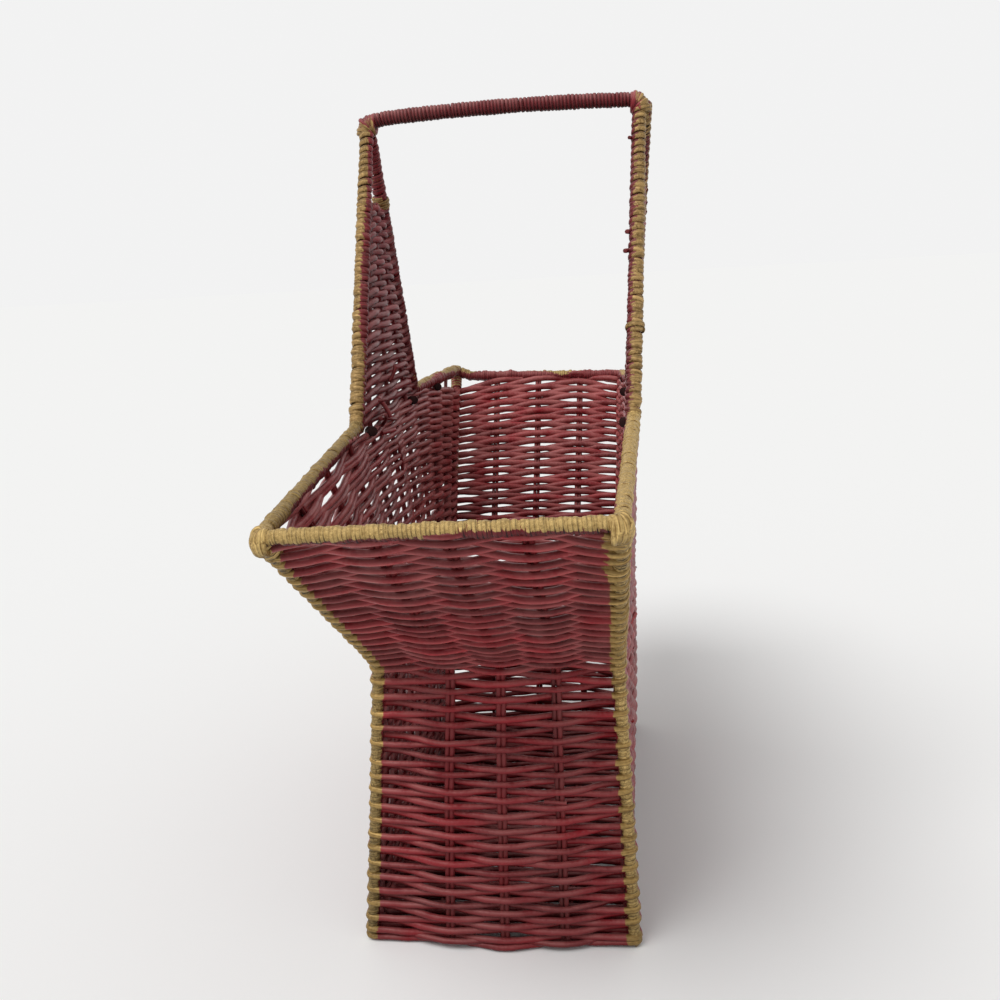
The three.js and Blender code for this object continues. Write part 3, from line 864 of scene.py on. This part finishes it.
fans = {
    "inset": 0.85,  # of a fan's depth, from the corner to its pivot
    "lean": 0.08, "depths": (0.94, 1.08), "breadths": (0.95, 1.07),  # how uneven its loops are
}
fineSpacing = 1.0 * mm


def rounded(points, bend, spacing=2.0 * mm):  # a polyline with its corners turned into small bends
    path = []
    start = points[0]
    for before, at, after in zip(points, points[1:], points[2:]):
        into, out = at + unit(before - at) * bend, at + unit(after - at) * bend
        path += straight(start, into, spacing)
        for t in np.linspace(0, 1, 9)[1:-1]:
            path.append(into * (1 - t) ** 2 + at * 2 * t * (1 - t) + out * t * t)
        start = out
    return np.array(path + straight(start, points[-1], spacing))


def fanLoops(pivot, first, second, item, random):  # loops of reed that share an inner corner
    axis = unit(np.cross(first, second))
    turn = np.linspace(0, 2 * math.pi, 22)[:-1, None]
    loops = []
    for angle in np.linspace(0, math.pi / 2, item["fanCount"]):
        way = unit(first * math.cos(angle) + second * math.sin(angle))
        way = unit(way + axis * random.normal(0, fans["lean"]))
        deep = item["fanDepth"] * random.uniform(*fans["depths"])
        wide = item["fanBreadth"] * random.uniform(*fans["breadths"])
        loops.append(pivot + way * deep * (1 + np.cos(turn)) + axis * wide * np.sin(turn))
    return loops


rimPaths, fanPaths, knotPaths = [], [], []
rimRandom = np.random.default_rng(rim["fanSeed"])
up = np.array([0.0, 0.0, 1.0])
for end in (-1, 1):
    saddles = [corner("saddle", end, side) for side in (-1, 1)]
    corners = [corner("rim", end, side) for side in (-1, 1)]
    tips = [low + unit(corner("peak", end, side) - low) * rim["rise"] for side, low in zip((-1, 1), saddles)]
    for side, at in zip((-1, 1), corners):
        ways = np.array([end, 0.0, 0.0]), np.array([0.0, side, 0.0])
        pivot = at - (ways[0] + ways[1]) * rim["fanDepth"] * fans["inset"] - up * rim["fanDrop"]
        fanPaths += fanLoops(pivot, *ways, rim, rimRandom)
    if end == -1:  # the front rail was tied on top of the far one
        level = corners[0] + unit(corners[1] - corners[0]) * rim["levelAfter"]
        corners[:1] = [corners[0] + up * rim["onTop"], level]
    rimPaths.append(rounded([tips[0], saddles[0], *corners, saddles[1], tips[1]], rim["bend"]))
for item in postPlaces:
    top, down = item["line"][2], item["line"][1]
    knotPaths.append(np.array(straight(top, top + unit(down - top) * rim["knotDrop"], fineSpacing)))

rimGold = {
    "mouth": (176.5 * mm, 53 * mm), "outward": 0.45, "up": 0.75, "stroke": 0.12, "edge": (-0.05, 0.35),
    "near": 0.3, "nearFrom": (-120 * mm, 120 * mm),  # the brush went further round at the near end
    "bare": ((176.5 * mm, 10.0 * mm, 16.0 * mm), (-112.0 * mm, -57.0 * mm, 13.0 * mm)),  # x, y and breadth
    "bareDepth": 0.6,
    "touches": (-50.0 * mm, 12.0 * mm), "touchBreadth": 8.0 * mm,  # y of the gold on the far rim
    "farFrom": (160 * mm, 172 * mm), "farBare": 0.72, "onPosts": 0.85,
    "waves": ((0, 95, 1.3), (60, 41, 0)),  # of the stroke: rates along x and y, and start
}


def goldRim(places, normals):  # away from the middle of the mouth, and up
    away = places - np.array([0, middleY, 0])
    halfLength, halfDepth = rimGold["mouth"]
    onEnd = np.abs(away[:, 0]) / halfLength > np.abs(away[:, 1]) / halfDepth
    outward = np.where(onEnd, np.sign(away[:, 0]) * normals[:, 0], np.sign(away[:, 1]) * normals[:, 1])
    facing = outward * rimGold["outward"] + normals[:, 2] * rimGold["up"]
    near = smoothStep(places[:, 0], *rimGold["nearFrom"])
    stroke = sum(np.sin(places[:, 0] * byX + places[:, 1] * byY + start)
                 for byX, byY, start in rimGold["waves"])
    bare = sum(np.exp(-((places[:, 0] - x) ** 2 + (places[:, 1] - y) ** 2) / breadth ** 2)
               for x, y, breadth in rimGold["bare"])
    touched = sum(np.exp(-((places[:, 1] - y) / rimGold["touchBreadth"]) ** 2) for y in rimGold["touches"])
    far = smoothStep(-places[:, 0], *rimGold["farFrom"]) * (touched - rimGold["farBare"])
    facing += rimGold["near"] * near + rimGold["stroke"] * stroke - rimGold["bareDepth"] * bare + far
    return smoothStep(facing, *rimGold["edge"])


def goldCorners(places, normals):
    return np.maximum(goldRim(places, normals), rimGold["onPosts"] * nearPosts(places, normals))


rimRods = grow("rimRods", rimPaths, reedSweep, rim["rod"], giltReed)
rimCane = grow("rimCane", rimPaths, stripWinding, rim["cane"], giltReed)
rimKnots = grow("rimKnots", knotPaths, stripWinding, rim["knot"], giltReed)
rimFans = grow("rimFans", fanPaths, reedSweep, rim["fan"], giltReed, closed=True)
rimEnds = "left", "right", "front_left", "front_right", "back_left", "back_right"
rimNames = [f"rim_rail_{name}" for name in rimEnds]
for piece, rule, nodes in ((rimRods, goldRim, rimNames), (rimCane, goldRim, []), (rimKnots, goldCorners, []),
                           (rimFans, goldCorners, [])):
    brush(piece, rule)
    settle(piece, nodes)


# handle: four uprights under a bar, all bound with cane

uprights = {
    "rod": {"radius": 1.3 * mm, "spread": 0.1, "wobble": 0.3 * mm, "sides": 10, "seed": 61},
    "cane": {
        "core": 1.5 * mm, "pitch": 3.0 * mm, "width": 2.9 * mm, "thickness": 1.6 * mm, "slack": 0.5 * mm,
        "lumps": 0.5 * mm, "drift": 0.9, "steps": 14, "sides": 8, "seed": 62,
    },
    "knot": {
        "core": 2.7 * mm, "pitch": 2.0 * mm, "width": 2.2 * mm, "thickness": 1.2 * mm, "slack": 0.6 * mm,
        "steps": 14, "sides": 8, "seed": 63,
    },
    "top": 0.985, "spacing": 4.0 * mm,
    "knots": ((-1, -1, 0.715, 0.75), (1, 1, 0.266, 0.286)),  # end, side, and shares of the height
    "lean": (0.6, 0.75), "farGold": (0.22, 0.5),  # front and back
    "goldHeights": (230 * mm, 242 * mm, 272 * mm, 297 * mm), "goldStops": (-0.6, 0.16, 0.1, -0.18),
    "backStop": 0.1, "goldBlend": 0.4,  # the stops say how far round the gold goes
}
bar = {
    "rod": {"radius": 1.8 * mm, "spread": 0.1, "wobble": 0.2 * mm, "sides": 10, "seed": 71},
    "cane": {
        "core": 1.9 * mm, "pitch": 1.5 * mm, "width": 1.65 * mm, "thickness": 1.15 * mm, "slack": 0.6 * mm,
        "lumps": 0.5 * mm, "drift": 1.3, "steps": 14, "sides": 8, "seed": 72,
    },
    "fan": {"radius": 1.0 * mm, "spread": 0.3, "wobble": 0.8 * mm, "sides": 8, "seed": 73},
    "fanCount": 9, "fanDepth": 3.3 * mm, "fanBreadth": 3.5 * mm, "fanSeed": 74,
    "fanDrops": (2.2 * mm, 1.4 * mm), "over": (-1.0 * mm, 1.0 * mm),  # front and back
    "arch": 1.5 * mm, "dip": 0.9 * mm, "dipShare": 1 / 12,
}
uprightPaths, uprightNames = [], []
for sideName, side in (("front", -1), ("back", 1)):
    for endName, end in (("left", -1), ("right", 1)):
        low, high = uprightLine(end, side)
        top = between(low, high, uprights["top"])
        uprightPaths.append(np.array(straight(low, top, uprights["spacing"])))
        uprightNames.append(f"{sideName}_{endName}")


def goldUprights(places, normals):  # the back pair was brushed from the ends, the front pair from the front
    back = places[:, 1] > middleY
    lean = np.where(back, uprights["lean"][1], uprights["lean"][0])
    along = np.where(back, 1, -1) * np.sqrt(1 - lean ** 2)
    facing = normals[:, 0] * np.sign(places[:, 0]) * lean + normals[:, 1] * along
    stops = np.interp(places[:, 2], uprights["goldHeights"], uprights["goldStops"])
    low = np.where(back, uprights["backStop"], stops)
    brushed = smoothStep(facing, low, low + uprights["goldBlend"])
    thin = np.where(back, uprights["farGold"][1], uprights["farGold"][0])  # the far pair has it all round
    return np.where(places[:, 0] < 0, np.maximum(brushed * back, thin), brushed)


def wholeGold(places, normals):
    return np.ones(len(places))


uprightRods = grow("uprightRods", uprightPaths, reedSweep, uprights["rod"], giltCane)
uprightCane = grow("uprightCane", uprightPaths, stripWinding, uprights["cane"], giltCane)
for piece, slot, prefix in ((uprightRods, "gilt_rod", "upright_"), (uprightCane, "gilt_cane", "binding_")):
    brush(piece, goldUprights)
    settle(piece, [prefix + name for name in uprightNames])
tiePaths = []
for end, side, low, high in uprights["knots"]:
    line = uprightLine(end, side)
    tiePaths.append(np.array(straight(between(*line, low), between(*line, high), fineSpacing)))
uprightKnot = grow("uprightKnot", tiePaths, stripWinding, uprights["knot"], giltCane)
brush(uprightKnot, wholeGold)
settle(uprightKnot, [])


apexGold = {
    "reach": 3.0 * mm, "below": (-1, 1.5), "facing": (0.25, 0.6), "edge": (0.2, 0.75),
    "beyond": (-0.2, 0.6), "start": (-0.14, 0.2), "lower": (0.45, 0.0),  # front and back
}


def goldApex(places, normals):  # the lower side of the handle's front corner, the outer side of the back one
    side = np.sign(places[:, 1] - middleY)
    front = side < 0
    at = np.where(front, corner("peak", 1, -1)[1], corner("peak", 1, 1)[1])
    beyond = (places[:, 1] - at) * side / apexGold["reach"]  # past the upright's middle
    below = np.clip((corner("peak", 1, 1)[2] - places[:, 2]) / apexGold["reach"], *apexGold["below"])
    byBeyond, start, byBelow = (np.where(front, *apexGold[label]) for label in ("beyond", "start", "lower"))
    towardEnd, outward = apexGold["facing"]
    facing = normals[:, 1] * side * outward + beyond * byBeyond + towardEnd * normals[:, 0]
    return smoothStep(facing + byBelow * below + start, *apexGold["edge"])


barEnds = [corner("peak", 1, side) for side in (-1, 1)]
onward = unit(barEnds[1] - barEnds[0])
barLine = barEnds[0] - onward * bar["over"][0], barEnds[1] + onward * bar["over"][1]
barPath = []
for t in np.linspace(0, 1, 60):
    dip = bar["dip"] * max(0.0, 1 - t / bar["dipShare"]) ** 2  # at the front end
    barPath.append(between(*barLine, t) + up * (bar["arch"] * 4 * t * (1 - t) - dip))
barPath = np.array(barPath)
barFans = []
barRandom = np.random.default_rng(bar["fanSeed"])
for side, at, drop in zip((-1, 1), barEnds, bar["fanDrops"]):
    ways = up, np.array([0.0, side, 0.0])
    pivot = at - (ways[0] + ways[1]) * bar["fanDepth"] * fans["inset"] - up * drop
    barFans += fanLoops(pivot, *ways, bar, barRandom)
barRod = grow("barRod", [barPath], reedSweep, bar["rod"], barReed)
barCane = grow("barCane", [barPath], stripWinding, bar["cane"], barReed)
barCorners = grow("barCorners", barFans, reedSweep, bar["fan"], giltCane, closed=True)
for piece, slot, nodes in ((barRod, "red_rod", ["handle_bar"]), (barCane, "red_cane", ["binding_bar"]),
                           (barCorners, "red_cane", [])):
    brush(piece, goldApex if piece is barCorners else None)
    settle(piece, nodes)


# peaks: rows between the uprights, each turned round the rods at its ends

peaks = {
    "row": {"radius": 1.42 * mm, "spread": 0.22, "wobble": 0.6 * mm, "sides": 8, "seed": 81},
    "count": 39, "lowShare": 0.0, "highShare": 0.71, "reach": 1.5 * mm, "seed": 82,
    "wrap": 1.85 * mm, "turn": (-40, 0, 40, 80, 120, 160, 195), "climb": 0.2 * mm,  # turn: degrees
    "jitter": 0.002, "spacing": 1.8 * mm, "turnEdge": (3.8 * mm, 4.4 * mm), "goldFrom": 0.51, "dark": 0.8,
}


def lastTurn(at, axis, face, away):  # a row's end goes round the upright from one face to the other
    points = []
    for k, degrees in enumerate(peaks["turn"]):
        angle = math.radians(degrees)
        out = face * math.cos(angle) + away * math.sin(angle)
        points.append(at + out * peaks["wrap"] + axis * peaks["climb"] * k)
    return points


def peakRows(side):
    random = np.random.default_rng(peaks["seed"] + side)
    outward = np.array([0.0, side, 0.0])
    stands = [stand for steps, stand in sorted(peakStands(side).items())]
    paths = []
    for row, share in enumerate(np.linspace(peaks["lowShare"], peaks["highShare"], peaks["count"])):
        share += random.normal(0, peaks["jitter"])
        sign = 1 if row % 2 else -1
        turns = []
        for end in (-1, 1):
            low, high = uprightLine(end, side)
            axis = unit(high - low)
            away = np.array([end, 0.0, 0.0])
            away = unit(away - axis * (away @ axis))
            face = unit(outward - axis * (outward @ axis)) * sign
            at = between(low, high, share + random.normal(0, peaks["jitter"]))
            turns.append(lastTurn(at, axis, face, away))
        points = turns[0][::-1]
        for i, stand in enumerate(stands):
            reach = sign * (-1 if i % 2 == 0 else 1) * peaks["reach"] * random.uniform(*rows["reachShares"])
            points.append(between(*stand, share / stakes["peakShare"]) + outward * reach)
        paths.append(threaded(points + turns[1], peaks["spacing"], False))
    return paths


def aroundUprights(places):
    mark = np.zeros(len(places))
    for end in (-1, 1):
        for side in (-1, 1):
            low, high = uprightLine(end, side)
            rise = high - low
            share = np.clip((places - low) @ rise / (rise @ rise), 0, 1)
            apart = np.linalg.norm(places - (low + share[:, None] * rise), axis=1)
            mark = np.maximum(mark, 1 - smoothStep(apart, *peaks["turnEdge"]))
    return mark


def goldTurns(places, normals):  # only the turns round the uprights were brushed
    brushed = goldUprights(places, normals)
    return aroundUprights(places) * np.where(brushed > peaks["goldFrom"], brushed, 0)


def shadedTurns(places, normals):  # and the rest of each turn is darkened with painted shade
    return peaks["dark"] * aroundUprights(places) * (goldUprights(places, normals) < peaks["goldFrom"])


for sideName, side in (("front", -1), ("back", 1)):
    panel = grow(sideName + "PeakWattle", peakRows(side), reedSweep, peaks["row"], giltCane)
    brush(panel, goldTurns, paintedShadeRule=shadedTurns)
    settle(panel, [f"wattle_peak_{sideName}"])


# small things: broken reed ends, and rod ends inside the saddles, painted near-black as the shadow in the
# holes there

loose = {
    "reed": {"radius": 0.85 * mm, "spread": 0.3, "wobble": 0.6 * mm, "sides": 7, "seed": 91},
    "stub": {"radius": 2.0 * mm, "spread": 0.15, "wobble": 0.2 * mm, "sides": 12, "seed": 92},
    "count": 16, "length": (7.0 * mm, 15.0 * mm), "slope": 0.35, "seed": 93,
    "heights": (0.1, 1.9), "along": (0.2, 0.8), "start": 0.6 * mm, "lift": (0.96 * mm, 2.56 * mm),
    "tangle": 7, "tangleX": (2.0 * mm, 36.0 * mm), "tangleZ": (-8.0 * mm, 12.0 * mm), "tangleIn": 2.2 * mm,
    "tangleWay": (1.0, 0.25, 0.8), "tangleBow": 3.0 * mm,
    "snapped": 21.0 * mm, "snappedDrop": 6.0 * mm, "snappedX": (1.5 * mm, -2.5 * mm),
    "snappedIn": 2.8 * mm, "snappedBow": 5.0 * mm,
    "nubs": ((0.513, 4.5 * mm), (0.573, 3.9 * mm), (0.875, 3.8 * mm)),  # share of the height, and reach
    "nubShade": 0.9, "nubsAbove": 30 * mm, "nubFoot": (-2.0 * mm, -2.2 * mm, 0.0), "nubOut": 2.5 * mm,
    "stubs": ((1, 13.0, 3.5), (-1, 13.0, 3.5), (-1, -52.0, 6.0)),  # end, and mm inside and below its saddle
    "stubLength": 4.0 * mm, "stubIn": 1.5 * mm, "stubWay": (0.8, -0.6, 0.1),
}


def looseEnds():
    random = np.random.default_rng(loose["seed"])
    paths = []
    while len(paths) < loose["count"]:
        j = random.integers(len(ring))
        item, after = ring[j], ring[(j + 1) % len(ring)]
        u, along = (random.uniform(*loose[label]) for label in ("heights", "along"))
        if item["post"] or after["post"]:
            continue
        first, facings, rise = standAt(item, u)
        second = standAt(after, u)[0]
        way = unit(second - first) * random.choice((-1, 1))
        length = random.uniform(*loose["length"])
        lift = random.uniform(*loose["lift"])
        slope = random.uniform(-loose["slope"], loose["slope"])
        start = between(first, second, along) + facings[0] * loose["start"]
        tip = (way + rise * slope) * length + facings[0] * lift
        paths.append(start + np.outer(np.linspace(0, 1, 7), tip))
    low = corner("saddle", 1, -1)
    for i in range(loose["tangle"]):  # frayed ends inside the near front saddle
        x, z = random.uniform(*loose["tangleX"]), low[2] + random.uniform(*loose["tangleZ"])
        foot = np.array([x, low[1] + loose["tangleIn"], z])
        alongWall, inward, upward = loose["tangleWay"]
        way = unit(np.array([random.normal(0, alongWall), inward, random.normal(0, upward)]))
        length = random.uniform(*loose["length"])
        paths.append(np.array([foot + way * length * t + np.array([0, loose["tangleBow"] * t * (1 - t), 0])
                               for t in np.linspace(0, 1, 7)]))
    top = corner("rim", 1, -1)[2] - loose["snappedDrop"]
    snapped = []
    for t in np.linspace(0, 1, 9):  # a snapped stake in the middle of the front wall
        bow = loose["snappedIn"] + loose["snappedBow"] * t * (1 - t)
        snapped.append([between(*loose["snappedX"], t), low[1] + bow, top - loose["snapped"] * t])
    paths.append(np.array(snapped))
    for share, reach in loose["nubs"]:  # cut ends of cane on the near back upright
        foot = between(*uprightLine(1, 1), share)
        paths.append(foot + np.linspace(loose["nubFoot"], (loose["nubOut"], -reach, 0), 5))
    return paths


# painted shade on the cut ends high on the near back upright
def shadedNubs(places, normals):
    return (places[:, 2] > corner("saddle", 1, 1)[2] + loose["nubsAbove"]) * loose["nubShade"]


stubPaths = []
for side in (-1, 1):
    for end, along, drop in loose["stubs"]:
        inward = np.array([-end * along * mm, -side * loose["stubIn"], -drop * mm])
        foot = corner("saddle", end, side) + inward
        way = unit(np.array(loose["stubWay"]) * (1, side, 1))
        stubPaths.append(np.array(straight(foot, foot + way * loose["stubLength"], fineSpacing)))
looseReeds = grow("looseEnds", looseEnds(), reedSweep, loose["reed"], redReed)
# near-black rod ends, a painted shadow in the saddles' holes
shadowStubs = grow("shadowStubs", stubPaths, reedSweep, loose["stub"], shadowStub)
for piece, rule in ((looseReeds, shadedNubs), (shadowStubs, None)):
    brush(piece, paintedShadeRule=rule)
    settle(piece, [])


# floor and light

studio = {
    "floor": (248, 248, 247), "floorRough": 0.8, "floorReach": 9.0, "sky": 0.89, "fill": 0.55,
    "sun": 1.475, "softness": 36, "sunFrom": (0.55, -0.6, 1.4),  # degrees, and the way to it
}


def makeStudio():
    mesh = bpy.data.meshes.new("floor")
    reach = studio["floorReach"]
    mesh.from_pydata([(-reach, -reach, 0), (reach, -reach, 0), (reach, reach, 0), (-reach, reach, 0)],
                     [], [(0, 1, 2, 3)])
    floor = bpy.data.objects.new("floor", mesh)
    scene.collection.objects.link(floor)
    paint = bpy.data.materials.new("floorPaint")
    paint.use_nodes = True
    shader = paint.node_tree.nodes["Principled BSDF"]
    shader.inputs["Base Color"].default_value = linear(*studio["floor"])
    shader.inputs["Roughness"].default_value = studio["floorRough"]
    shader.inputs["Specular IOR Level"].default_value = 0.0
    floor.data.materials.append(paint)
    world = bpy.data.worlds.new("studio")
    scene.world = world
    world.use_nodes = True
    tree = world.node_tree
    ground = tree.nodes["Background"]
    ground.inputs["Color"].default_value = (1, 1, 1, 1)
    seen = put(tree, "ShaderNodeLightPath")
    direct = calc(tree, "MAXIMUM", seen.outputs["Is Camera Ray"], seen.outputs["Is Glossy Ray"])
    direct = calc(tree, "MAXIMUM", direct, seen.outputs["Is Transmission Ray"])
    level = put(tree, "ShaderNodeMix", {0: direct, 2: studio["fill"], 3: studio["sky"]}, data_type="FLOAT")
    tree.links.new(level.outputs[0], ground.inputs["Strength"])
    lamp = bpy.data.lights.new("softSun", "SUN")
    lamp.angle = math.radians(studio["softness"])
    lamp.energy = studio["sun"]
    sun = bpy.data.objects.new("softSun", lamp)
    scene.collection.objects.link(sun)
    sun.rotation_euler = (-Vector(studio["sunFrom"])).to_track_quat("-Z", "Y").to_euler()


makeStudio()
print("studio lit")
